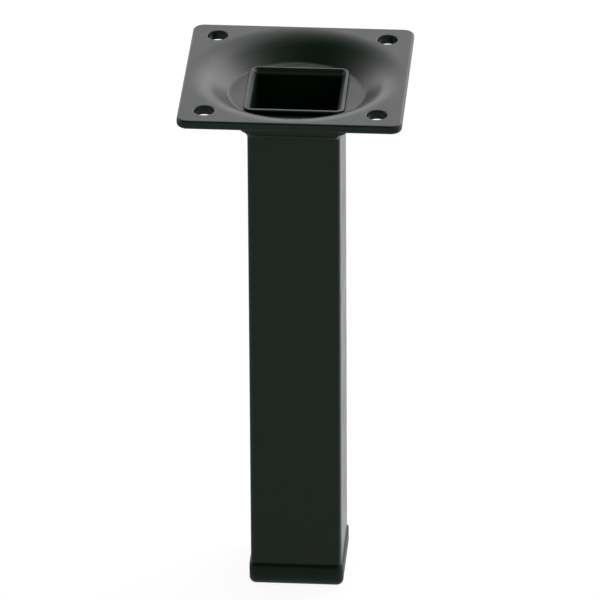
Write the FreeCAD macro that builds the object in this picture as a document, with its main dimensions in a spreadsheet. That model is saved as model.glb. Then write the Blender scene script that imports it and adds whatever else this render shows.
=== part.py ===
# Screw-on table leg: a square steel tube flared and welded into a dished mounting plate,
# closed at the foot by a moulded plastic cap.
# Millimetres, +Z up. The origin is the middle of the foot's sole, on the floor.

import FreeCAD, Part
import math
import os
import Sketcher

# Driving sizes: cell name, value and what it measures
SIZES = (
    ("leg_height", 150.0, "floor to the top face of the plate"),
    ("tube_side", 25.0, "outside width of the square tube"),
    ("tube_wall", 1.0, "wall of the tube"),
    ("tube_inner_corner", 0.5, "inside corner radius of the tube"),
    ("tube_end_bevel", 0.25, "dressed outer edge at the tube's lower end"),
    ("flare_lean", 45.0, "degrees that the flared wall leans out from upright"),
    ("rim_rise", 1.3, "mouth rim above the dish floor"),
    ("rim_round", 0.35, "rounding of the rim's outer edge"),
    ("plate_overhang", 17.5, "plate past the tube on each side"),
    ("plate_sheet", 2.5, "thickness of the plate's sheet"),
    ("plate_corner", 3.0, "plan corner radius of the plate"),
    ("plate_top_round", 0.7, "rounding of the plate's upper edge"),
    ("plate_under_round", 0.9, "rounding of the plate's lower edge"),
    ("screw_inset", 7.0, "screw hole centre to the plate's edge"),
    ("screw_bore", 5.4, "diameter of the screw holes"),
    ("screw_entry_round", 0.4, "rounding of the screw holes' upper edges"),
    ("dish_border", 1.0, "flat border between the dish and the plate's edge"),
    ("dish_depth", 5.5, "plate top down to the dish floor"),
    ("dish_lean", 38.0, "degrees that the dish wall slopes down from level"),
    ("dish_foot_round", 1.75, "hollow radius where the dish wall meets its floor"),
    ("floor_margin", 0.05, "flat floor left outside the corners of the rounded hole edge"),
    ("fit_gap", 0.1, "gap between the tube and the hole in the plate"),
    ("entry_round", 0.5, "rounding of the hole's upper edge"),
    ("collar_wall", 1.9, "wall of the collar drawn down round the tube"),
    ("collar_drop", 5.4, "dish floor down to the collar's lower end"),
    ("collar_root_round", 0.7, "hollow radius between the collar and the sheet above it"),
    ("bead_drop", 2.2, "height of the weld bead on the tube"),
    ("bead_face_round", 5.0, "hollow radius of the weld bead's face"),
    ("head_height", 6.4, "sole to the tube's lower end"),
    ("head_proud", 0.45, "cap head past the tube on each side"),
    ("head_foot_round", 1.8, "rounding of the sole's edge"),
    ("head_top_bevel", 0.65, "bevel on the upper edge of the cap head"),
    ("sole_thickness", 2.4, "solid plastic under the hollow"),
    ("spigot_reach", 14.0, "length of the spigot in the tube"),
    ("spigot_wall", 1.6, "wall of the hollow spigot"),
    ("spigot_corner", 1.2, "plan corner radius of the spigot and its fins"),
    ("hollow_corner", 0.6, "plan corner radius of the hollow"),
    ("spigot_lead", 0.8, "bevel at the spigot's upper end"),
    ("fin_gap", 0.05, "gap between a fin and the tube's bore"),
    ("fin_depth", 1.0, "how far each fin stands out from the spigot"),
    ("fin_thickness", 0.8, "height of each fin"),
    ("fin_start", 2.4, "tube's lower end up to the first fin"),
    ("fin_pitch", 3.6, "spacing of the fins"),
    ("fin_count", 3, "rows of fins"),
    ("corner_share", 0.9, "largest rounding, as a share of the plan corner that it runs round"),
)

# Worked-out sizes: cell name and formula
FITS = (
    ("tube_half", "Sizes.tube_side / 2"),
    ("tube_corner", "Sizes.tube_inner_corner + Sizes.tube_wall"),
    ("tube_flat", "tube_half - tube_corner"),
    ("bore_side", "Sizes.tube_side - 2 * Sizes.tube_wall"),
    ("hole_side", "Sizes.tube_side + 2 * Sizes.fit_gap"),
    ("hole_corner", "tube_corner + Sizes.fit_gap"),
    ("plate_side", "Sizes.tube_side + 2 * Sizes.plate_overhang"),
    ("screw_offset", "plate_side / 2 - Sizes.screw_inset"),
    ("dish_reach", "plate_side / 2 - Sizes.dish_border"),
    ("hole_reach", "(hole_side / 2 - hole_corner) * sqrt(2) + hole_corner"),
    ("floor_reach", "hole_reach + Sizes.entry_round + Sizes.floor_margin"),
    ("collar_side", "hole_side + 2 * Sizes.collar_wall"),
    ("collar_corner", "hole_corner + Sizes.collar_wall"),
    ("collar_from", "Sizes.dish_depth + Sizes.plate_sheet / 2"),
    ("collar_length", "Sizes.collar_drop - Sizes.plate_sheet / 2"),
    ("hole_depth", "Sizes.dish_depth + Sizes.collar_drop"),
    ("collar_end", "Sizes.leg_height - hole_depth"),
    ("bend_round", "Sizes.entry_round + Sizes.fit_gap"),
    ("bend_level", "Sizes.leg_height - Sizes.dish_depth - Sizes.entry_round - Sizes.head_height"),
    ("rim_level", "Sizes.leg_height - Sizes.dish_depth + Sizes.rim_rise - Sizes.head_height"),
    ("bead_out", "Sizes.fit_gap + Sizes.collar_wall"),
    ("head_side", "Sizes.tube_side + 2 * Sizes.head_proud"),
    ("head_corner", "tube_corner + Sizes.head_proud"),
    ("sole_round", "min(Sizes.head_foot_round; Sizes.corner_share * head_corner)"),
    ("lead_bevel", "min(Sizes.spigot_lead; Sizes.corner_share * Sizes.spigot_corner)"),
    ("fin_side", "bore_side - 2 * Sizes.fin_gap"),
    ("spigot_side", "fin_side - 2 * Sizes.fin_depth"),
    ("hollow_side", "spigot_side - 2 * Sizes.spigot_wall"),
    ("hollow_depth", "Sizes.spigot_reach + Sizes.head_height - Sizes.sole_thickness"),
    ("spigot_top", "Sizes.head_height + Sizes.spigot_reach"),
    ("first_fin", "Sizes.head_height + Sizes.fin_start"),
    ("fin_span", "Sizes.fin_pitch * (Sizes.fin_count - 1)"),
)

NEAR = 1e-4

doc = FreeCAD.newDocument("TableLeg")


def fill_sheet(label, rows):
    """Make a sheet of named cells: name, content and, where there is one, a note."""
    sheet = doc.addObject("Spreadsheet::Sheet", label)
    for number, row in enumerate(rows, start=1):
        sheet.set(f"A{number}", row[0])
        sheet.set(f"B{number}", row[1])
        sheet.setAlias(f"B{number}", row[0])
        if len(row) > 2:
            sheet.set(f"C{number}", row[2])
    doc.recompute()
    return sheet


sizes = fill_sheet("Sizes", [(name, str(value), note) for name, value, note in SIZES])
fits = fill_sheet("Fits", [(name, "=" + formula) for name, formula in FITS])


def amount(cell):
    """The number in a cell given as Sheet.name."""
    sheet_name, name = cell.split(".")
    sheet = sizes if sheet_name == "Sizes" else fits
    return float(sheet.get(name))


def start_body(label, level=None):
    """Start a sub-part, lifted to the level that a formula gives."""
    body = doc.addObject("PartDesign::Body", label)
    body.Label = label
    if level:
        body.setExpression("Placement.Base.z", level)
    return body


def origin_feature(body, role):
    """One of the body's own origin planes or axes."""
    return next(item for item in body.Origin.OriginFeatures if item.Role == role)


def add_sketch(body, name, role="XY_Plane", level=None):
    """Lay a sketch on an origin plane, moved along the plane's normal by a formula."""
    sketch = body.newObject("Sketcher::SketchObject", name)
    sketch.AttachmentSupport = [(origin_feature(body, role), "")]
    sketch.MapMode = "FlatFace"
    if level:
        sketch.setExpression("AttachmentOffset.Base.z", level)
    return sketch


def add_line(sketch, start, end):
    """Draw a straight line between two points."""
    first = FreeCAD.Vector(start[0], start[1], 0)
    last = FreeCAD.Vector(end[0], end[1], 0)
    return sketch.addGeometry(Part.LineSegment(first, last), False)


def add_arc(sketch, centre, radius, start, end):
    """Draw an arc anticlockwise between two angles in degrees."""
    circle = Part.Circle(FreeCAD.Vector(centre[0], centre[1], 0), FreeCAD.Vector(0, 0, 1), radius)
    arc = Part.ArcOfCircle(circle, math.radians(start), math.radians(end))
    return sketch.addGeometry(arc, False)


def relate(sketch, kind, *places):
    """Add a constraint that has no size."""
    sketch.addConstraint(Sketcher.Constraint(kind, *places))


def measure(sketch, kind, name, cell, *places):
    """Add a named dimension that a cell drives."""
    index = sketch.addConstraint(Sketcher.Constraint(kind, *places, amount(cell)))
    sketch.renameConstraint(index, name)
    sketch.setExpression(f"Constraints.{name}", cell)


def measure_lean(sketch, formula, degrees, line):
    """Set the angle from level to a line by a formula in degrees."""
    index = sketch.addConstraint(Sketcher.Constraint("Angle", line, math.radians(degrees)))
    sketch.renameConstraint(index, "lean")
    sketch.setExpression("Constraints.lean", f"{formula} * 1 deg")


def draw_rounded_square(sketch, side_cell, corner_cell):
    """Draw a square with round corners about the sketch's origin."""
    half = amount(side_cell) / 2
    radius = amount(corner_cell)
    flat = half - radius
    lines = (
        add_line(sketch, (-flat, -half), (flat, -half)),
        add_line(sketch, (half, -flat), (half, flat)),
        add_line(sketch, (flat, half), (-flat, half)),
        add_line(sketch, (-half, flat), (-half, -flat)),
    )
    arcs = (
        add_arc(sketch, (flat, -flat), radius, 270, 360),
        add_arc(sketch, (flat, flat), radius, 0, 90),
        add_arc(sketch, (-flat, flat), radius, 90, 180),
        add_arc(sketch, (-flat, -flat), radius, 180, 270),
    )
    for index in range(4):
        relate(sketch, "Tangent", lines[index], 2, arcs[index], 1)
        relate(sketch, "Tangent", arcs[index], 2, lines[(index + 1) % 4], 1)
        relate(sketch, "Vertical" if index % 2 else "Horizontal", lines[index])
    for arc in arcs[1:]:
        relate(sketch, "Equal", arcs[0], arc)
    relate(sketch, "Equal", lines[0], lines[1])
    relate(sketch, "Symmetric", arcs[0], 3, arcs[2], 3, -1, 1)
    measure(sketch, "Radius", "corner", corner_cell, arcs[0])
    measure(sketch, "DistanceX", "side", side_cell, lines[3], 1, lines[1], 1)


def add_circle(sketch, cell, centre=(0, 0)):
    """Draw a circle whose radius a cell drives."""
    place = FreeCAD.Vector(centre[0], centre[1], 0)
    circle = sketch.addGeometry(Part.Circle(place, FreeCAD.Vector(0, 0, 1), amount(cell)), False)
    measure(sketch, "Radius", "reach", cell, circle)
    return circle


def add_pad(body, name, sketch, length, downward=False):
    """Thicken a sketch by the length that a formula gives."""
    pad = body.newObject("PartDesign::Pad", name)
    pad.Profile = sketch
    pad.setExpression("Length", length)
    pad.Reversed = downward
    doc.recompute()
    return pad


def add_pocket(body, name, sketch, depth):
    """Cut a sketch downward to the depth that a formula gives."""
    volume = body.Shape.Volume
    pocket = body.newObject("PartDesign::Pocket", name)
    pocket.Profile = sketch
    pocket.setExpression("Length", depth)
    doc.recompute()
    if pocket.Shape.Volume > volume - NEAR:
        raise RuntimeError(f"{name} cuts nothing")
    return pocket


def add_turned_copies(body, name, features):
    """Repeat features four times round the vertical axis."""
    pattern = body.newObject("PartDesign::PolarPattern", name)
    pattern.Originals = features
    pattern.Axis = (origin_feature(body, "Z_Axis"), [""])
    pattern.Angle = 360
    pattern.Occurrences = 4
    body.Tip = pattern
    doc.recompute()
    return pattern


def edges_where(shape, test):
    """Names of the edges whose middle point passes a test."""
    names = []
    for number, edge in enumerate(shape.Edges, start=1):
        middle = edge.valueAt((edge.FirstParameter + edge.LastParameter) / 2)
        if test(edge, middle):
            names.append(f"Edge{number}")
    return names


def level_edges(shape, level, inner, outer):
    """Names of the level edges at one height, between two reaches from the middle."""
    def on_ring(edge, middle):
        reach = max(abs(middle.x), abs(middle.y))
        box = edge.BoundBox
        return box.ZLength < NEAR and abs(middle.z - level) < NEAR and inner < reach < outer
    return edges_where(shape, on_ring)


def soften(body, kind, name, radius, names):
    """Round or bevel the named edges of the body's last feature."""
    if not names:
        raise RuntimeError(f"{name} has no edges")
    base = body.Tip
    feature = body.newObject(f"PartDesign::{kind}", name)
    feature.Base = (base, names)
    feature.setExpression("Radius" if kind == "Fillet" else "Size", radius)
    doc.recompute()
    return feature


def carry_round_tube(body, name, draw_section):
    """Carry one section round the tube's rounded square.

    The section is drawn from the centre of a corner: it runs along one flat side, turns
    through one corner, and both are repeated for the other three.
    """
    side = add_sketch(body, f"{name}_side_section", "XZ_Plane")
    corner = add_sketch(body, f"{name}_corner_section", "XZ_Plane", "-Fits.tube_flat")
    for sketch in (side, corner):
        sketch.setExpression("AttachmentOffset.Base.x", "Fits.tube_flat")
        draw_section(sketch)
    flat = body.newObject("PartDesign::Pad", f"{name}_side")
    flat.Profile = side
    flat.SideType = "Symmetric"
    flat.setExpression("Length", "2 * Fits.tube_flat")
    doc.recompute()
    bend = body.newObject("PartDesign::Revolution", f"{name}_corner")
    bend.Profile = corner
    bend.ReferenceAxis = (corner, ["V_Axis"])
    bend.Angle = 90
    doc.recompute()
    return add_turned_copies(body, f"{name}_all_round", [flat, bend])


def draw_tube_section(sketch):
    """Wall of the tube: upright, then leaning out over the hole's rounded edge, level on top.

    The rim's rounding touches the leaning outside and the level top.
    """
    outer = amount("Fits.tube_corner")
    inner = amount("Sizes.tube_inner_corner")
    bend = amount("Fits.bend_round")
    level = amount("Fits.bend_level")
    rim = amount("Fits.rim_level")
    rim_round = amount("Sizes.rim_round")
    lean = amount("Sizes.flare_lean")
    centre = (outer + bend, level)
    back = bend + outer - inner
    cosine = math.cos(math.radians(lean))
    sine = math.sin(math.radians(lean))
    outer_turn = (centre[0] - bend * cosine, level + bend * sine)
    inner_turn = (centre[0] - back * cosine, level + back * sine)
    point = outer_turn[0] + (rim - outer_turn[1]) * sine / cosine
    touch = rim_round / math.tan(math.radians(90 - lean) / 2)
    outer_tip = (point - touch * sine, rim - touch * cosine)
    inner_tip = (inner_turn[0] + (rim - inner_turn[1]) * sine / cosine, rim)
    outside = add_line(sketch, (outer, 0), (outer, level))
    outside_bend = add_arc(sketch, centre, bend, 180 - lean, 180)
    outside_lean = add_line(sketch, outer_turn, outer_tip)
    edge = add_arc(sketch, (point - touch, rim - rim_round), rim_round, -lean, 90)
    top = add_line(sketch, (point - touch, rim), inner_tip)
    inside_lean = add_line(sketch, inner_tip, inner_turn)
    inside_bend = add_arc(sketch, centre, back, 180 - lean, 180)
    inside = add_line(sketch, (inner, level), (inner, 0))
    foot = add_line(sketch, (inner, 0), (outer, 0))
    relate(sketch, "Tangent", outside, 2, outside_bend, 2)
    relate(sketch, "Tangent", outside_bend, 1, outside_lean, 1)
    relate(sketch, "Tangent", outside_lean, 2, edge, 1)
    relate(sketch, "Tangent", edge, 2, top, 1)
    relate(sketch, "Coincident", top, 2, inside_lean, 1)
    relate(sketch, "Tangent", inside_lean, 2, inside_bend, 1)
    relate(sketch, "Tangent", inside_bend, 2, inside, 1)
    relate(sketch, "Coincident", inside, 2, foot, 1)
    relate(sketch, "Coincident", foot, 2, outside, 1)
    relate(sketch, "Coincident", outside_bend, 3, inside_bend, 3)
    relate(sketch, "Parallel", outside_lean, inside_lean)
    relate(sketch, "PointOnObject", outside, 1, -1)
    for line in (outside, inside):
        relate(sketch, "Vertical", line)
    for line in (top, foot):
        relate(sketch, "Horizontal", line)
    measure(sketch, "DistanceX", "outer", "Fits.tube_corner", -1, 1, outside, 1)
    measure(sketch, "DistanceX", "wall", "Sizes.tube_wall", foot, 1, foot, 2)
    measure(sketch, "DistanceY", "bend_level", "Fits.bend_level", -1, 1, outside_bend, 3)
    measure(sketch, "Radius", "bend", "Fits.bend_round", outside_bend)
    measure(sketch, "Radius", "edge", "Sizes.rim_round", edge)
    measure(sketch, "DistanceY", "rim", "Fits.rim_level", -1, 1, top, 2)
    measure_lean(sketch, "(90 - Sizes.flare_lean)", 90 - lean, outside_lean)


def draw_bead_section(sketch):
    """Weld bead: flat on the collar's end and on the tube, with a slightly hollow face."""
    outer = amount("Fits.tube_corner")
    reach = outer + amount("Fits.bead_out")
    drop = amount("Sizes.bead_drop")
    radius = amount("Sizes.bead_face_round")
    half_chord = math.hypot(reach - outer, drop) / 2
    away = math.sqrt(radius ** 2 - half_chord ** 2)
    slope = math.atan2(drop, reach - outer)
    middle = ((outer + reach) / 2, -drop / 2)
    centre = (middle[0] + away * math.sin(slope), middle[1] - away * math.cos(slope))
    start = math.degrees(math.atan2(-centre[1], reach - centre[0]))
    end = math.degrees(math.atan2(-drop - centre[1], outer - centre[0])) % 360
    top = add_line(sketch, (outer, 0), (reach, 0))
    face = add_arc(sketch, centre, radius, start, end)
    back = add_line(sketch, (outer, -drop), (outer, 0))
    relate(sketch, "Coincident", top, 2, face, 1)
    relate(sketch, "Coincident", face, 2, back, 1)
    relate(sketch, "Coincident", back, 2, top, 1)
    relate(sketch, "Horizontal", top)
    relate(sketch, "Vertical", back)
    relate(sketch, "PointOnObject", top, 1, -1)
    measure(sketch, "DistanceX", "outer", "Fits.tube_corner", -1, 1, top, 1)
    measure(sketch, "DistanceX", "out", "Fits.bead_out", top, 1, top, 2)
    measure(sketch, "DistanceY", "drop", "Sizes.bead_drop", back, 1, back, 2)
    measure(sketch, "Radius", "hollow", "Sizes.bead_face_round", face)


def draw_dish_section(sketch):
    """Dish of the pressed sheet, of one thickness: a round lip, a straight wall and a hollow foot.

    The lip has the one radius that runs level into the flange and touches the wall.
    """
    reach = amount("Fits.dish_reach")
    floor = amount("Fits.floor_reach")
    depth = amount("Sizes.dish_depth")
    sheet = amount("Sizes.plate_sheet")
    foot_round = amount("Sizes.dish_foot_round")
    lean = amount("Sizes.dish_lean")
    cosine = math.cos(math.radians(lean))
    sine = math.sin(math.radians(lean))
    both_rounds = ((reach - floor) * sine - depth * cosine) / (1 - cosine)
    lip_round = both_rounds - foot_round
    lip_centre = (reach, -lip_round)
    foot_centre = (floor, foot_round - depth)

    def add_wall(lip, foot):
        """Draw the straight wall between a lip and a foot of these radii."""
        start = (foot_centre[0] + foot * sine, foot_centre[1] - foot * cosine)
        end = (lip_centre[0] - lip * sine, lip_centre[1] + lip * cosine)
        return add_line(sketch, start, end)

    upper_lip = add_arc(sketch, lip_centre, lip_round, 90, 90 + lean)
    upper_wall = add_wall(lip_round, foot_round)
    upper_foot = add_arc(sketch, foot_centre, foot_round, 270, 270 + lean)
    upper_floor = add_line(sketch, (floor, -depth), (0, -depth))
    axis = add_line(sketch, (0, -depth), (0, -depth - sheet))
    lower_floor = add_line(sketch, (0, -depth - sheet), (floor, -depth - sheet))
    lower_foot = add_arc(sketch, foot_centre, foot_round + sheet, 270, 270 + lean)
    lower_wall = add_wall(lip_round - sheet, foot_round + sheet)
    lower_lip = add_arc(sketch, lip_centre, lip_round - sheet, 90, 90 + lean)
    rise = add_line(sketch, (reach, -sheet), (reach, 0))
    relate(sketch, "Coincident", rise, 2, upper_lip, 1)
    relate(sketch, "Tangent", upper_lip, 2, upper_wall, 2)
    relate(sketch, "Tangent", upper_wall, 1, upper_foot, 2)
    relate(sketch, "Coincident", upper_foot, 1, upper_floor, 1)
    relate(sketch, "Coincident", upper_floor, 2, axis, 1)
    relate(sketch, "Coincident", axis, 2, lower_floor, 1)
    relate(sketch, "Coincident", lower_floor, 2, lower_foot, 1)
    relate(sketch, "Tangent", lower_foot, 2, lower_wall, 1)
    relate(sketch, "Tangent", lower_wall, 2, lower_lip, 2)
    relate(sketch, "Coincident", lower_lip, 1, rise, 1)
    relate(sketch, "Coincident", upper_lip, 3, lower_lip, 3)
    relate(sketch, "Coincident", upper_foot, 3, lower_foot, 3)
    relate(sketch, "Horizontal", upper_floor)
    relate(sketch, "Horizontal", lower_floor)
    relate(sketch, "Vertical", axis)
    relate(sketch, "Vertical", rise)
    relate(sketch, "Vertical", upper_lip, 3, upper_lip, 1)
    relate(sketch, "Vertical", upper_foot, 3, upper_foot, 1)
    relate(sketch, "Vertical", lower_foot, 3, lower_foot, 1)
    relate(sketch, "PointOnObject", upper_floor, 2, -2)
    relate(sketch, "PointOnObject", rise, 2, -1)
    measure(sketch, "DistanceX", "reach", "Fits.dish_reach", -1, 1, rise, 2)
    measure(sketch, "DistanceX", "floor", "Fits.floor_reach", -1, 1, upper_floor, 1)
    measure(sketch, "DistanceY", "depth", "Sizes.dish_depth", upper_floor, 2, -1, 1)
    measure(sketch, "DistanceY", "sheet", "Sizes.plate_sheet", axis, 2, axis, 1)
    measure(sketch, "Radius", "foot_round", "Sizes.dish_foot_round", upper_foot)
    measure_lean(sketch, "Sizes.dish_lean", lean, upper_wall)


def make_mounting_plate():
    """Pressed sheet: square flange, round dish, drawn square collar and four screw holes."""
    body = start_body("mounting_plate", "Sizes.leg_height")
    flange = add_sketch(body, "flange_outline", level="-Sizes.plate_sheet")
    draw_rounded_square(flange, "Fits.plate_side", "Sizes.plate_corner")
    add_circle(flange, "Fits.dish_reach")
    relate(flange, "Coincident", 8, 3, -1, 1)
    add_pad(body, "flange", flange, "Sizes.plate_sheet")

    section = add_sketch(body, "dish_section", "XZ_Plane")
    draw_dish_section(section)
    dish = body.newObject("PartDesign::Revolution", "dish")
    dish.Profile = section
    dish.ReferenceAxis = (section, ["V_Axis"])
    dish.Angle = 360
    doc.recompute()

    outside = add_sketch(body, "collar_outline", level="-Fits.collar_from")
    draw_rounded_square(outside, "Fits.collar_side", "Fits.collar_corner")
    add_pad(body, "collar", outside, "Fits.collar_length", downward=True)

    underside = -amount("Sizes.dish_depth") - amount("Sizes.plate_sheet")
    collar_half = amount("Fits.collar_side") / 2

    def on_root(edge, middle):
        """Where the collar's outside meets the sheet above it."""
        low = edge.BoundBox.ZMin > underside - NEAR
        high = edge.BoundBox.ZMax < underside + amount("Sizes.plate_sheet") / 2
        reach = max(abs(middle.x), abs(middle.y))
        return low and high and reach < collar_half + NEAR

    soften(body, "Fillet", "collar_root", "Sizes.collar_root_round",
           edges_where(body.Tip.Shape, on_root))

    hole = add_sketch(body, "tube_hole_outline")
    draw_rounded_square(hole, "Fits.hole_side", "Fits.hole_corner")
    add_pocket(body, "tube_hole", hole, "Fits.hole_depth")
    soften(body, "Fillet", "hole_entry", "Sizes.entry_round",
           level_edges(body.Tip.Shape, -amount("Sizes.dish_depth"), 0, amount("Fits.hole_side") / 2 + NEAR))

    flange_half = amount("Fits.plate_side") / 2
    soften(body, "Fillet", "upper_edge", "Sizes.plate_top_round",
           level_edges(body.Tip.Shape, 0, amount("Fits.dish_reach") + NEAR, flange_half + NEAR))
    soften(body, "Fillet", "lower_edge", "Sizes.plate_under_round",
           level_edges(body.Tip.Shape, -amount("Sizes.plate_sheet"), amount("Fits.dish_reach") + NEAR,
                       flange_half + NEAR))

    screw = add_sketch(body, "screw_hole_outline")
    offset = amount("Fits.screw_offset")
    circle = screw.addGeometry(Part.Circle(FreeCAD.Vector(offset, offset, 0),
                                           FreeCAD.Vector(0, 0, 1),
                                           amount("Sizes.screw_bore") / 2), False)
    measure(screw, "Diameter", "bore", "Sizes.screw_bore", circle)
    measure(screw, "DistanceX", "across", "Fits.screw_offset", -1, 1, circle, 3)
    measure(screw, "DistanceY", "along", "Fits.screw_offset", -1, 1, circle, 3)
    drilled = add_pocket(body, "screw_hole", screw, "Sizes.plate_sheet")
    add_turned_copies(body, "screw_holes", [drilled])
    soften(body, "Fillet", "screw_entries", "Sizes.screw_entry_round",
           level_edges(body.Tip.Shape, 0, 0, offset + amount("Sizes.screw_bore") / 2 + NEAR))
    return body


def make_leg_tube():
    """Square tube with a flared mouth; its lower end stands on the cap's head."""
    body = start_body("leg_tube", "Sizes.head_height")
    carry_round_tube(body, "wall", draw_tube_section)
    half = amount("Fits.tube_half")
    soften(body, "Chamfer", "end_bevel", "Sizes.tube_end_bevel",
           level_edges(body.Tip.Shape, 0, half - amount("Fits.tube_corner") / 2, half + NEAR))
    return body


def make_weld_bead():
    """Weld all round the tube, under the collar's end."""
    body = start_body("weld_bead", "Fits.collar_end")
    carry_round_tube(body, "bead", draw_bead_section)
    return body


def make_foot_cap():
    """Moulded plug: a head with a rounded sole under a hollow spigot that has rows of fins."""
    body = start_body("foot_cap")
    head = add_sketch(body, "head_outline")
    draw_rounded_square(head, "Fits.head_side", "Fits.head_corner")
    add_pad(body, "head", head, "Sizes.head_height")
    head_half = amount("Fits.head_side") / 2
    soften(body, "Fillet", "sole_edge", "Fits.sole_round",
           level_edges(body.Tip.Shape, 0, 0, head_half + NEAR))
    soften(body, "Chamfer", "head_bevel", "Sizes.head_top_bevel",
           level_edges(body.Tip.Shape, amount("Sizes.head_height"), 0, head_half + NEAR))

    spigot = add_sketch(body, "spigot_outline", level="Sizes.head_height")
    draw_rounded_square(spigot, "Fits.spigot_side", "Sizes.spigot_corner")
    add_pad(body, "spigot", spigot, "Sizes.spigot_reach")
    soften(body, "Chamfer", "spigot_lead", "Fits.lead_bevel",
           level_edges(body.Tip.Shape, amount("Fits.spigot_top"), 0, head_half))

    fin = add_sketch(body, "fin_outline", level="Fits.first_fin")
    draw_rounded_square(fin, "Fits.fin_side", "Sizes.spigot_corner")
    first = add_pad(body, "fin", fin, "Sizes.fin_thickness")
    rows = body.newObject("PartDesign::LinearPattern", "fins")
    rows.Originals = [first]
    rows.Direction = (origin_feature(body, "Z_Axis"), [""])
    rows.setExpression("Length", "Fits.fin_span")
    rows.setExpression("Occurrences", "Sizes.fin_count")
    body.Tip = rows
    doc.recompute()

    hollow = add_sketch(body, "hollow_outline", level="Fits.spigot_top")
    draw_rounded_square(hollow, "Fits.hollow_side", "Sizes.hollow_corner")
    add_pocket(body, "hollow", hollow, "Fits.hollow_depth")
    return body


def check(bodies):
    """Stop where an object failed, or where a sub-part is not one valid solid."""
    for item in doc.Objects:
        if "Invalid" in item.State or "Error" in item.State:
            raise RuntimeError(f"{item.Name} failed: {item.State}")
    for body in bodies:
        shape = body.Shape
        if shape.isNull() or not shape.isValid() or len(shape.Solids) != 1:
            raise RuntimeError(f"{body.Label} is not one valid solid")


def write_parts(bodies):
    """Write each sub-part to a file that has its name."""
    os.makedirs("parts", exist_ok=True)
    for body in bodies:
        body.Shape.exportStep(f"parts/{body.Label}.step")
        print(f"{body.Label}: {body.Shape.Volume:.1f} mm3")


pieces = [make_mounting_plate(), make_leg_tube(), make_weld_bead(), make_foot_cap()]
doc.recompute()
check(pieces)
write_parts(pieces)
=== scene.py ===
"""Screw-on table leg: the finishes, the ripples of its weld, and a plain white studio.

The leg is a square steel tube, welded into a dished mounting plate and powder coated black,
with a moulded plastic cap in its foot. The solids come from the frame, and this script gives
them their finishes. Lengths are in metres unless a name ends in _mm.
"""

import logging
import math
from dataclasses import dataclass, field
from enum import Enum
from typing import Any

import bpy
import numpy as np
from mathutils import Matrix, Vector

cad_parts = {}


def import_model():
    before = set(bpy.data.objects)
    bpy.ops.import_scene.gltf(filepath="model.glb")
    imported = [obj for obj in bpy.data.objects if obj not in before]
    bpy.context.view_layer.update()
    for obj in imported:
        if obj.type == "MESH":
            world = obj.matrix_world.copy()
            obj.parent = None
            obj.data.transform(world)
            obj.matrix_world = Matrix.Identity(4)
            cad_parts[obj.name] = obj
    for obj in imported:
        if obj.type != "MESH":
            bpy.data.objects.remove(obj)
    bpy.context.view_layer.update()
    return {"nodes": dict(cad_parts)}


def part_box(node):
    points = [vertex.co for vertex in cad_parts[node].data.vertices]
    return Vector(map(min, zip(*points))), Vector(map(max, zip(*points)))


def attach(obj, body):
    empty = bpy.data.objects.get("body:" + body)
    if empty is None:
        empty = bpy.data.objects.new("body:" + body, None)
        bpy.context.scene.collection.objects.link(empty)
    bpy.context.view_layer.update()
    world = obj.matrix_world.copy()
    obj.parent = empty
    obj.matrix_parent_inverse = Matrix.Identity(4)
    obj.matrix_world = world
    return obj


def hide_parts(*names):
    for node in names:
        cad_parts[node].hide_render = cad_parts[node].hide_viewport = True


LOG = logging.getLogger("table_leg")
MM = 0.001
WHITE = "#ffffff"
PATTERN_MIDDLE = 0.5
PATTERN_SPREAD = 0.2


class Node(Enum):
    """The leg's solids, by the names of their nodes."""

    PLATE = "mounting_plate"
    TUBE = "leg_tube"
    BEAD = "weld_bead"
    CAP = "foot_cap"


def to_linear(colour: str) -> tuple[float, float, float, float]:
    """Turn an sRGB hex colour into the linear colour that a shader takes.

    The sRGB curve is a straight line in the deepest shades and a power of 2.4 above them.

    Args:
        colour: Six hex digits after a hash sign.

    Returns:
        Linear red, green and blue, and an alpha of one.
    """
    parts = [int(colour[start:start + 2], 16) / 255 for start in (1, 3, 5)]
    red, green, blue = (
        part / 12.92 if part <= 0.04045 else ((part + 0.055) / 1.055) ** 2.4 for part in parts)
    return red, green, blue, 1.0


def add_node(
    material: bpy.types.Material | bpy.types.World,
    kind: str,
    settings: dict[str, Any] | None = None,
    inputs: dict[str | int, Any] | None = None,
) -> bpy.types.Node:
    """Add one shader node, with its settings and its inputs.

    Args:
        material: What holds the node tree.
        kind: The node's type name.
        settings: Values for the node's own properties.
        inputs: A number, a vector or another node's output socket, for each input socket.

    Returns:
        The new node.
    """
    tree = material.node_tree
    node = tree.nodes.new(kind)
    for name, value in (settings or {}).items():
        setattr(node, name, value)
    for name, value in (inputs or {}).items():
        if isinstance(value, bpy.types.NodeSocket):
            tree.links.new(value, node.inputs[name])
        else:
            node.inputs[name].default_value = value
    return node


def new_material(name: str) -> bpy.types.Material:
    """Make a material with an empty node tree."""
    material = bpy.data.materials.new(name)
    material.use_nodes = True
    material.node_tree.nodes.clear()
    return material


def new_mesh_object(
    name: str, points: np.ndarray, faces: np.ndarray, smooth: bool = True
) -> bpy.types.Object:
    """Put worked-out points and faces into a mesh object at the origin.

    Args:
        name: The object's name.
        points: One row of x, y and z for each point.
        faces: One row of four point numbers for each face, seen anticlockwise from outside.
        smooth: Whether the faces are shaded smooth.

    Returns:
        The new object, linked to the scene.
    """
    mesh = bpy.data.meshes.new(name)
    mesh.from_pydata(points, [], faces)
    mesh.polygons.foreach_set("use_smooth", np.full(len(faces), smooth))
    mesh.update()
    piece = bpy.data.objects.new(name, mesh)
    bpy.context.scene.collection.objects.link(piece)
    return piece


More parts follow.
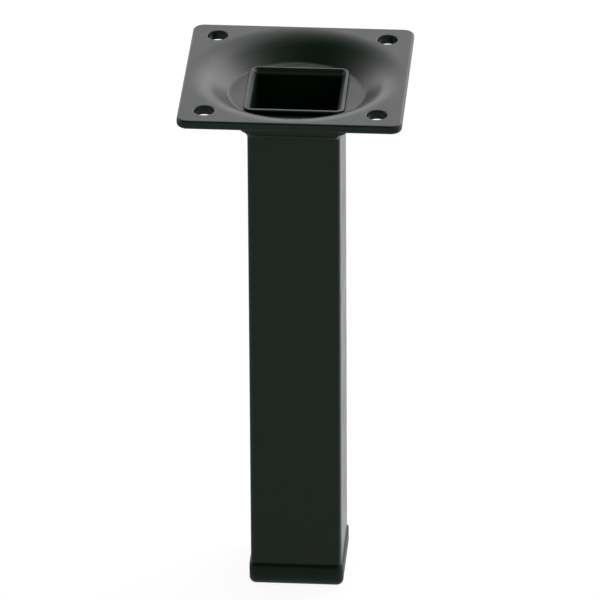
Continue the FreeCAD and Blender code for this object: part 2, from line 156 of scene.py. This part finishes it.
def grid_faces(rows: int, columns: int, closed_rows: bool, closed_columns: bool) -> np.ndarray:
    """Number the faces of a grid of points.

    The face at row i and column j joins points (i, j), (i, j + 1), (i + 1, j + 1) and (i + 1, j),
    and a closed direction joins its last line of points to its first.

    Args:
        rows: Lines of points.
        columns: Points in each line.
        closed_rows: Whether the last line joins the first.
        closed_columns: Whether each line is a loop.

    Returns:
        One row of four point numbers for each face.
    """
    number = np.arange(rows * columns).reshape(rows, columns)
    low = number if closed_rows else number[:-1]
    high = np.roll(number, -1, axis=0) if closed_rows else number[1:]
    low_next = np.roll(low, -1, axis=1)
    high_next = np.roll(high, -1, axis=1)
    faces = np.stack([low, low_next, high_next, high], axis=-1)
    if not closed_columns:
        faces = faces[:, :-1]
    return faces.reshape(-1, 4)


@dataclass(frozen=True)
class Grain:
    """A soft random pattern that runs through a piece, and the relief it gives the surface.

    The size and the height are those of its largest marks. Each finer layer has marks half as
    large as the one before it, and adds a share of what that one added.
    """

    size_mm: float
    finer_layers: float
    finer_share: float
    height_mm: float = 0.0

    def pattern(
        self, material: bpy.types.Material, place: bpy.types.NodeSocket
    ) -> bpy.types.NodeSocket:
        """Add the pattern to a material.

        Args:
            material: What holds the nodes.
            place: Gives the place on the piece.

        Returns:
            A socket with the pattern's value at each place, from 0 to 1.
        """
        noise = add_node(material, "ShaderNodeTexNoise", inputs={
            "Vector": place, "Scale": 1 / (self.size_mm * MM), "Detail": self.finer_layers,
            "Roughness": self.finer_share})
        return noise.outputs["Fac"]

    def relief(
        self,
        material: bpy.types.Material,
        pattern: bpy.types.NodeSocket,
        under: bpy.types.NodeSocket | None = None,
    ) -> bpy.types.NodeSocket:
        """Raise the surface by the pattern.

        Args:
            material: What holds the nodes.
            pattern: The pattern's value at each place.
            under: The normal of the larger relief that this one lies on, if there is one.

        Returns:
            A socket with the raised surface's normal.
        """
        inputs: dict[str | int, Any] = {
            "Height": pattern, "Strength": 1.0, "Distance": self.height_mm * MM}
        if under is not None:
            inputs["Normal"] = under
        return add_node(material, "ShaderNodeBump", inputs=inputs).outputs["Normal"]


def uneven_roughness(
    material: bpy.types.Material, pattern: bpy.types.NodeSocket, middle: float, swing: float
) -> bpy.types.NodeSocket:
    """Make a roughness that swings with a pattern.

    Nearly all of a pattern's values lie within PATTERN_SPREAD of PATTERN_MIDDLE.

    Args:
        material: What holds the nodes.
        pattern: The pattern's value at each place.
        middle: The roughness that it swings round.
        swing: How far it goes to either side.

    Returns:
        A socket with the roughness at each place.
    """
    swung = add_node(material, "ShaderNodeMapRange", inputs={
        "Value": pattern,
        "From Min": PATTERN_MIDDLE - PATTERN_SPREAD, "From Max": PATTERN_MIDDLE + PATTERN_SPREAD,
        "To Min": middle - swing, "To Max": middle + swing})
    return swung.outputs["Result"]


@dataclass(frozen=True)
class PowderCoat:
    """Black polyester powder coat on steel: sprayed as a dry powder and cured in an oven.

    It melts to a semi-gloss film with soft long waves, the orange peel, and a finer unevenness on
    them. Reflections of the studio are blurred and a little wavy, and the colour under them is a
    greenish black.
    """

    name: str
    colour: str = "#0a2510"
    ior: float = 1.5
    roughness: float = 0.32
    roughness_swing: float = 0.04
    gloss_patches: Grain = Grain(9.0, 3.0, 0.55)
    peel: Grain = Grain(2.4, 1.0, 0.4, height_mm=0.0035)
    fine_grain: Grain = Grain(0.5, 2.0, 0.5, height_mm=0.0009)

    def make(self) -> bpy.types.Material:
        """Build the coat's material: blurred gloss over black, with two sizes of surface waves.

        Returns:
            The new material.
        """
        material = new_material(self.name)
        place = add_node(material, "ShaderNodeTexCoord").outputs["Object"]
        patches = self.gloss_patches.pattern(material, place)
        roughness = uneven_roughness(material, patches, self.roughness, self.roughness_swing)
        waves = self.peel.relief(material, self.peel.pattern(material, place))
        surface = self.fine_grain.relief(material, self.fine_grain.pattern(material, place), waves)
        shader = add_node(material, "ShaderNodeBsdfPrincipled", inputs={
            "Base Color": to_linear(self.colour), "IOR": self.ior,
            "Roughness": roughness, "Normal": surface})
        add_node(material, "ShaderNodeOutputMaterial", inputs={"Surface": shader.outputs["BSDF"]})
        return material


@dataclass(frozen=True)
class MouldedPlastic:
    """Black polyethylene, injection moulded in a spark-eroded tool.

    The tool leaves an even fine grain, so that the cap is duller than the coat above it and its
    highlights are broad and grey. The grain's pits swallow part of the gloss.
    """

    name: str
    colour: str = "#081f0d"
    ior: float = 1.51
    gloss_level: float = 0.25
    roughness: float = 0.48
    roughness_swing: float = 0.06
    grain: Grain = Grain(0.35, 3.0, 0.6, height_mm=0.010)

    def make(self) -> bpy.types.Material:
        """Build the plastic's material: a dull gloss with an even moulded grain.

        Returns:
            The new material.
        """
        material = new_material(self.name)
        place = add_node(material, "ShaderNodeTexCoord").outputs["Object"]
        pattern = self.grain.pattern(material, place)
        roughness = uneven_roughness(material, pattern, self.roughness, self.roughness_swing)
        shader = add_node(material, "ShaderNodeBsdfPrincipled", inputs={
            "Base Color": to_linear(self.colour), "IOR": self.ior,
            "Specular IOR Level": self.gloss_level, "Roughness": roughness,
            "Normal": self.grain.relief(material, pattern)})
        add_node(material, "ShaderNodeOutputMaterial", inputs={"Surface": shader.outputs["BSDF"]})
        return material


def dress(node: bpy.types.Object, material: bpy.types.Material) -> None:
    """Give every material slot of a piece one finish.

    Args:
        node: The piece to dress.
        material: The finish.
    """
    if not node.material_slots:
        node.data.materials.append(material)
    for slot in node.material_slots:
        slot.material = material


@dataclass(frozen=True)
class PitchDrift:
    """A slow wave in the pace of a hand-held torch round the tube.

    The gain is in ripples, the waves are counted once round, and the start is in radians.
    """

    gain: float
    waves: int
    start: float


@dataclass
class SteelLeg:
    """The welded steel of the leg: the dished plate, the flared tube and the bead between them."""

    nodes: dict[str, bpy.types.Object]
    plate_coat: PowderCoat = field(default_factory=lambda: PowderCoat("powder_coated_plate"))
    tube_coat: PowderCoat = field(default_factory=lambda: PowderCoat("powder_coated_tube"))
    bead_coat: PowderCoat = field(default_factory=lambda: PowderCoat("powder_coated_weld"))
    tube_side: float = 25.0 * MM
    tube_corner: float = 1.5 * MM
    hollow: float = 0.3 * MM
    ripple_pitch: float = 1.25 * MM
    ripple_height: float = 0.11 * MM
    ripple_bow: float = 0.45
    ripple_power: float = 0.8
    pitch_drifts: tuple[PitchDrift, ...] = (PitchDrift(0.35, 3, 0.8), PitchDrift(0.22, 7, 2.1))
    sample_step: float = 0.11 * MM
    face_points: int = 13

    def build(self) -> bpy.types.Object:
        """Build the rippled bead that stands for the plain one.

        Returns:
            The bead.
        """
        low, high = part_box(Node.BEAD.value)
        loop, outward, distance = self.tube_outline()
        away, level = self.bead_section(high.x - self.tube_side / 2, high.z - low.z)
        share = np.linspace(0, 1, self.face_points)
        rise = np.zeros((len(distance), len(away)))
        rise[:, :self.face_points] = self.ripples(distance, share)
        slope = math.atan2(high.z - low.z, high.x - self.tube_side / 2)
        away = away[None, :] + rise * math.sin(slope)
        level = level[None, :] - rise * math.cos(slope)
        flat = loop[:, None, :] + away[:, :, None] * outward[:, None, :]
        points = np.concatenate([flat, high.z + level[:, :, None]], axis=-1)
        faces = grid_faces(len(distance), away.shape[1], closed_rows=True, closed_columns=True)
        bead = new_mesh_object("rippled_weld_bead", points.reshape(-1, 3), faces)
        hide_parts(Node.BEAD.value)
        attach(bead, "root")
        return bead

    def tube_outline(self) -> tuple[np.ndarray, np.ndarray, np.ndarray]:
        """Follow the outside of the tube once round, anticlockwise seen from above.

        Each quarter runs up one flat side and then round a quarter circle, and is turned by the
        number of quarters before it.

        Returns:
            Points on the outline, the outward directions there, and the distance gone so far.
        """
        flat = self.tube_side - 2 * self.tube_corner
        quarter = flat + self.tube_corner * math.pi / 2
        count = 4 * round(quarter / self.sample_step)
        distance = np.arange(count) * 4 * quarter / count
        gone = np.mod(distance, quarter)
        turn = np.floor(distance / quarter) * math.pi / 2
        bend = np.maximum(gone - flat, 0) / self.tube_corner
        across = self.tube_side / 2 - self.tube_corner * (1 - np.cos(bend))
        along = np.minimum(gone, flat) - flat / 2 + self.tube_corner * np.sin(bend)
        points = np.stack([across * np.cos(turn) - along * np.sin(turn),
                           across * np.sin(turn) + along * np.cos(turn)], axis=-1)
        outward = np.stack([np.cos(turn + bend), np.sin(turn + bend)], axis=-1)
        return points, outward, distance

    def bead_section(self, reach: float, drop: float) -> tuple[np.ndarray, np.ndarray]:
        """Draw the bead's section: a slightly hollow face, then back up the tube.

        The face runs from the collar's edge to the tube, and it is sunk from a straight line by a
        half sine of the hollow's depth.

        Args:
            reach: How far the bead stands out from the tube.
            drop: How far it goes down the tube.

        Returns:
            Distances out from the tube and levels below the collar's end.
        """
        share = np.linspace(0, 1, self.face_points)
        sunk = self.hollow * np.sin(math.pi * share)
        length = math.hypot(reach, drop)
        away = reach * (1 - share) - sunk * drop / length
        level = -drop * share + sunk * reach / length
        return np.append(away, 0.0), np.append(level, 0.0)

    def ripples(self, distance: np.ndarray, share: np.ndarray) -> np.ndarray:
        """Work out the height of the weld's ripples.

        A ripple is a power of a raised cosine along the bead, bowed back by the square of the
        distance from the middle of its face. It fades out at both toes by a half sine, and its
        pitch drifts a little round the tube, by a sine for each drift.

        Args:
            distance: Places along the bead.
            share: Places across its face, from 0 at the collar to 1 at the tube.

        Returns:
            Heights, one row for each place along the bead.
        """
        whole = distance[-1] + distance[1]
        count = round(whole / self.ripple_pitch)
        turn = 2 * math.pi * distance / whole
        drift = sum(one.gain * np.sin(one.waves * turn + one.start) for one in self.pitch_drifts)
        bow = self.ripple_bow * (2 * share - 1) ** 2
        phase = (count * distance / whole + drift)[:, None] + bow[None, :]
        wave = (0.5 + 0.5 * np.cos(2 * math.pi * phase)) ** self.ripple_power
        return self.ripple_height * wave * np.sin(math.pi * share)[None, :]

    def finish(self, bead: bpy.types.Object) -> None:
        """Dress the plate, the tube and the bead.

        Args:
            bead: The rippled bead.
        """
        dress(self.nodes[Node.PLATE.value], self.plate_coat.make())
        dress(self.nodes[Node.TUBE.value], self.tube_coat.make())
        dress(bead, self.bead_coat.make())


@dataclass
class FootCap:
    """The moulded cap, pressed into the tube's lower end."""

    nodes: dict[str, bpy.types.Object]
    plastic: MouldedPlastic = field(default_factory=lambda: MouldedPlastic("moulded_polyethylene"))

    def finish(self) -> None:
        """Dress the cap."""
        dress(self.nodes[Node.CAP.value], self.plastic.make())


@dataclass(frozen=True)
class LightPatch:
    """A soft round patch of light on the tent's cloth.

    The azimuth is in degrees from straight behind the leg towards its right, and a level of 1 is
    white.
    """

    azimuth: float
    elevation: float
    level: float

    def middle(self) -> Vector:
        """Direction from the leg to the patch's middle."""
        turn, rise = math.radians(self.azimuth), math.radians(self.elevation)
        flat = math.cos(rise)
        return Vector((math.sin(turn) * flat, math.cos(turn) * flat, math.sin(rise)))


@dataclass
class Studio:
    """A plain white floor in a tent of cloth, lit in patches from outside.

    The leg mirrors a high, strong patch behind it at the right and a low row that runs from there
    round to its left. Weaker patches at the right and in front give the other sides something to
    mirror.
    """

    reach: float = 8.0
    floor_colour: str = "#f4f4f4"
    key_patches: tuple[LightPatch, ...] = (
        LightPatch(40, 40, 2.05), LightPatch(38, 22, 1.0), LightPatch(12, 22, 0.25))
    row_patches: tuple[LightPatch, ...] = (
        LightPatch(-112, 8, 0.35), LightPatch(-80, 8, 0.7), LightPatch(-48, 8, 1.0),
        LightPatch(-16, 8, 1.2), LightPatch(48, 8, 0.85))
    fill_patches: tuple[LightPatch, ...] = (LightPatch(180, 14, 0.35), LightPatch(115, 25, 0.5))
    patch_narrowness: float = 8.0
    cloth_colour: str = "#fffaff"
    tent_steps: int = 48
    reflection_glow_colour: str = "#999999"
    card_reach: float = 1.4
    card_from: float = -0.016
    card_lift: float = 0.4 * MM
    glow_share: float = 0.84
    glow_level: float = 1.1

    def background_rays(self, material: bpy.types.Material) -> bpy.types.NodeSocket:
        """Pick out the rays that see the background itself: direct, mirrored or passed through.

        Args:
            material: What holds the nodes.

        Returns:
            A socket that is 1 for those rays and 0 for others.
        """
        path = add_node(material, "ShaderNodeLightPath")
        first = add_node(material, "ShaderNodeMath", {"operation": "MAXIMUM"},
                         {0: path.outputs["Is Camera Ray"], 1: path.outputs["Is Glossy Ray"]})
        both = add_node(material, "ShaderNodeMath", {"operation": "MAXIMUM"},
                        {0: first.outputs["Value"], 1: path.outputs["Is Transmission Ray"]})
        return both.outputs["Value"]

    def build_floor(self) -> bpy.types.Object:
        """Lay the floor: pale paint that keeps the leg's shadow and shows white where it is clear.

        From below it is clear, so that a view from under the leg shows the sole.

        Returns:
            The floor.
        """
        corner = self.reach * np.array([[-1, -1, 0], [1, -1, 0], [1, 1, 0], [-1, 1, 0]], float)
        floor = new_mesh_object("studio_floor", corner, np.array([[0, 1, 2, 3]]), smooth=False)
        material = new_material("matt_white_paint")
        paint = add_node(material, "ShaderNodeBsdfDiffuse", inputs={
            "Color": to_linear(self.floor_colour)})
        glow = add_node(material, "ShaderNodeEmission", inputs={
            "Color": to_linear(WHITE), "Strength": self.glow_level})
        lit = add_node(material, "ShaderNodeMixShader", inputs={
            0: self.glow_share, 1: paint.outputs["BSDF"], 2: glow.outputs["Emission"]})
        seen = add_node(material, "ShaderNodeMixShader", inputs={
            0: self.background_rays(material),
            1: paint.outputs["BSDF"], 2: lit.outputs["Shader"]})
        clear = add_node(material, "ShaderNodeBsdfTransparent")
        under = add_node(material, "ShaderNodeNewGeometry").outputs["Backfacing"]
        sided = add_node(material, "ShaderNodeMixShader", inputs={
            0: under, 1: seen.outputs["Shader"], 2: clear.outputs["BSDF"]})
        add_node(material, "ShaderNodeOutputMaterial", inputs={"Surface": sided.outputs["Shader"]})
        floor.data.materials.append(material)
        return floor

    def build_tent(self) -> bpy.types.Object:
        """Raise the tent: half a sphere that glows in its patches and nowhere else.

        Its points are the sphere's radius times (cos e cos a, cos e sin a, sin e), for the
        azimuth a and the elevation e. A patch adds its level times the exponential of its
        narrowness times (c - 1), where c is the cosine of the angle to its middle.

        Returns:
            The tent.
        """
        azimuth = np.linspace(0, 2 * math.pi, 2 * self.tent_steps, endpoint=False)[None, :]
        elevation = np.linspace(0, math.pi / 2, self.tent_steps)[:, None]
        sphere = np.stack([np.cos(elevation) * np.cos(azimuth), np.cos(elevation) * np.sin(azimuth),
                           np.sin(elevation) + 0 * azimuth], axis=-1)
        faces = grid_faces(
            self.tent_steps, 2 * self.tent_steps, closed_rows=False, closed_columns=True)
        tent = new_mesh_object("light_tent", self.reach * sphere.reshape(-1, 3), faces)
        material = new_material("lit_cloth")
        place = add_node(material, "ShaderNodeTexCoord").outputs["Object"]
        way = add_node(material, "ShaderNodeVectorMath", {"operation": "NORMALIZE"}, {0: place})
        total: bpy.types.NodeSocket | float = 0.0
        for patch in self.key_patches + self.row_patches + self.fill_patches:
            nearness = add_node(material, "ShaderNodeVectorMath", {"operation": "DOT_PRODUCT"}, {
                0: way.outputs["Vector"], 1: patch.middle() * self.patch_narrowness})
            growth = add_node(material, "ShaderNodeMath", {"operation": "EXPONENT"},
                              {0: nearness.outputs["Value"]})
            total = add_node(material, "ShaderNodeMath", {"operation": "MULTIPLY_ADD"}, {
                0: growth.outputs["Value"], 1: patch.level * math.exp(-self.patch_narrowness),
                2: total}).outputs["Value"]
        glow = add_node(material, "ShaderNodeEmission", inputs={
            "Color": to_linear(self.cloth_colour), "Strength": total})
        add_node(material, "ShaderNodeOutputMaterial", inputs={"Surface": glow.outputs["Emission"]})
        tent.data.materials.append(material)
        tent.visible_camera = False
        tent.visible_transmission = False
        return tent

    def build_card(self) -> bpy.types.Object:
        """Lay a grey card in front of the leg and at its left, to mirror in place of the floor.

        It glows with its own light and is no lamp: it paints a grey reflection that the leg's front
        and left faces mirror in place of the white floor. Its inner corner is at the foot. It glows
        as brightly close to the leg as far from it. Only mirrored rays see it, so it shows on the
        floor in no view and casts no shadow.

        Returns:
            The card.
        """
        far, near = -self.card_reach, self.card_from
        flat = np.array([
            [far, far], [-far, far], [-far, near], [near, near], [near, -far], [far, -far]])
        corner = np.column_stack([flat, np.full(len(flat), self.card_lift)])
        faces = np.array([[0, 1, 2, 3], [0, 3, 4, 5]])
        # A glowing sheet that only reflections see: painted reflection on the leg's front and left
        # faces
        card = new_mesh_object("painted_reflection_card", corner, faces, smooth=False)
        material = new_material("painted_reflection_glow")
        # The card's own glow sets how bright the painted reflection is
        glow = add_node(material, "ShaderNodeEmission", inputs={
            "Color": to_linear(self.reflection_glow_colour)})
        add_node(material, "ShaderNodeOutputMaterial", inputs={"Surface": glow.outputs["Emission"]})
        card.data.materials.append(material)
        card.visible_camera = False
        card.visible_diffuse = False
        card.visible_transmission = False
        card.visible_shadow = False
        return card

    def build(self) -> None:
        """Build the floor, the tent, the card and the world."""
        self.build_floor()
        self.build_tent()
        self.build_card()
        world = bpy.data.worlds.new("white_room")
        world.use_nodes = True
        world.node_tree.nodes.clear()
        white = add_node(world, "ShaderNodeBackground", inputs={
            "Color": to_linear(WHITE), "Strength": 1.0})
        add_node(world, "ShaderNodeOutputWorld", inputs={"Surface": white.outputs["Background"]})
        scene = bpy.context.scene
        scene.world = world
        scene.view_settings.view_transform = "Standard"


@dataclass(frozen=True)
class Viewpoint:
    """Where the photograph was taken from: far off, slightly to the right, looking down."""

    place_mm: tuple[float, float, float] = (148.759, -2000.0, 1128.615)
    yaw: float = -4.237
    pitch: float = 27.561
    roll: float = -0.33
    lens: float = 499.55
    sensor: float = 36.0

    def build(self) -> bpy.types.Object:
        """Make the camera and set it as the scene's own.

        It looks along (sin yaw cos pitch, cos yaw cos pitch, -sin pitch), and is then rolled.

        Returns:
            The camera.
        """
        yaw, pitch, roll = (math.radians(angle) for angle in (self.yaw, self.pitch, self.roll))
        flat = math.cos(pitch)
        ahead = Vector((math.sin(yaw) * flat, math.cos(yaw) * flat, -math.sin(pitch)))
        level = Vector((math.cos(yaw), -math.sin(yaw), 0.0))
        upright = level.cross(ahead)
        right = level * math.cos(roll) + upright * math.sin(roll)
        top = upright * math.cos(roll) - level * math.sin(roll)
        data = bpy.data.cameras.new("photo_camera")
        data.lens = self.lens
        data.sensor_width = self.sensor
        camera = bpy.data.objects.new("photo_camera", data)
        turn = Matrix((right, top, -ahead)).transposed().to_4x4()
        camera.matrix_world = Matrix.Translation(Vector(self.place_mm) * MM) @ turn
        bpy.context.scene.collection.objects.link(camera)
        bpy.context.scene.camera = camera
        return camera


def main() -> None:
    """Build the leg's finishes and the studio, and report each piece."""
    logging.basicConfig(level=logging.INFO, format="%(name)s: %(message)s")
    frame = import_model()
    steel = SteelLeg(frame["nodes"])
    bead = steel.build()
    LOG.info("%s: %d points", bead.name, len(bead.data.vertices))
    steel.finish(bead)
    FootCap(frame["nodes"]).finish()
    for name, node in frame["nodes"].items():
        LOG.info("%s: %s", name, node.material_slots[0].material.name)
    Studio().build()
    camera = Viewpoint().build()
    LOG.info("%s: lens %.1f mm", camera.name, camera.data.lens)


if __name__ == "__main__":
    main()
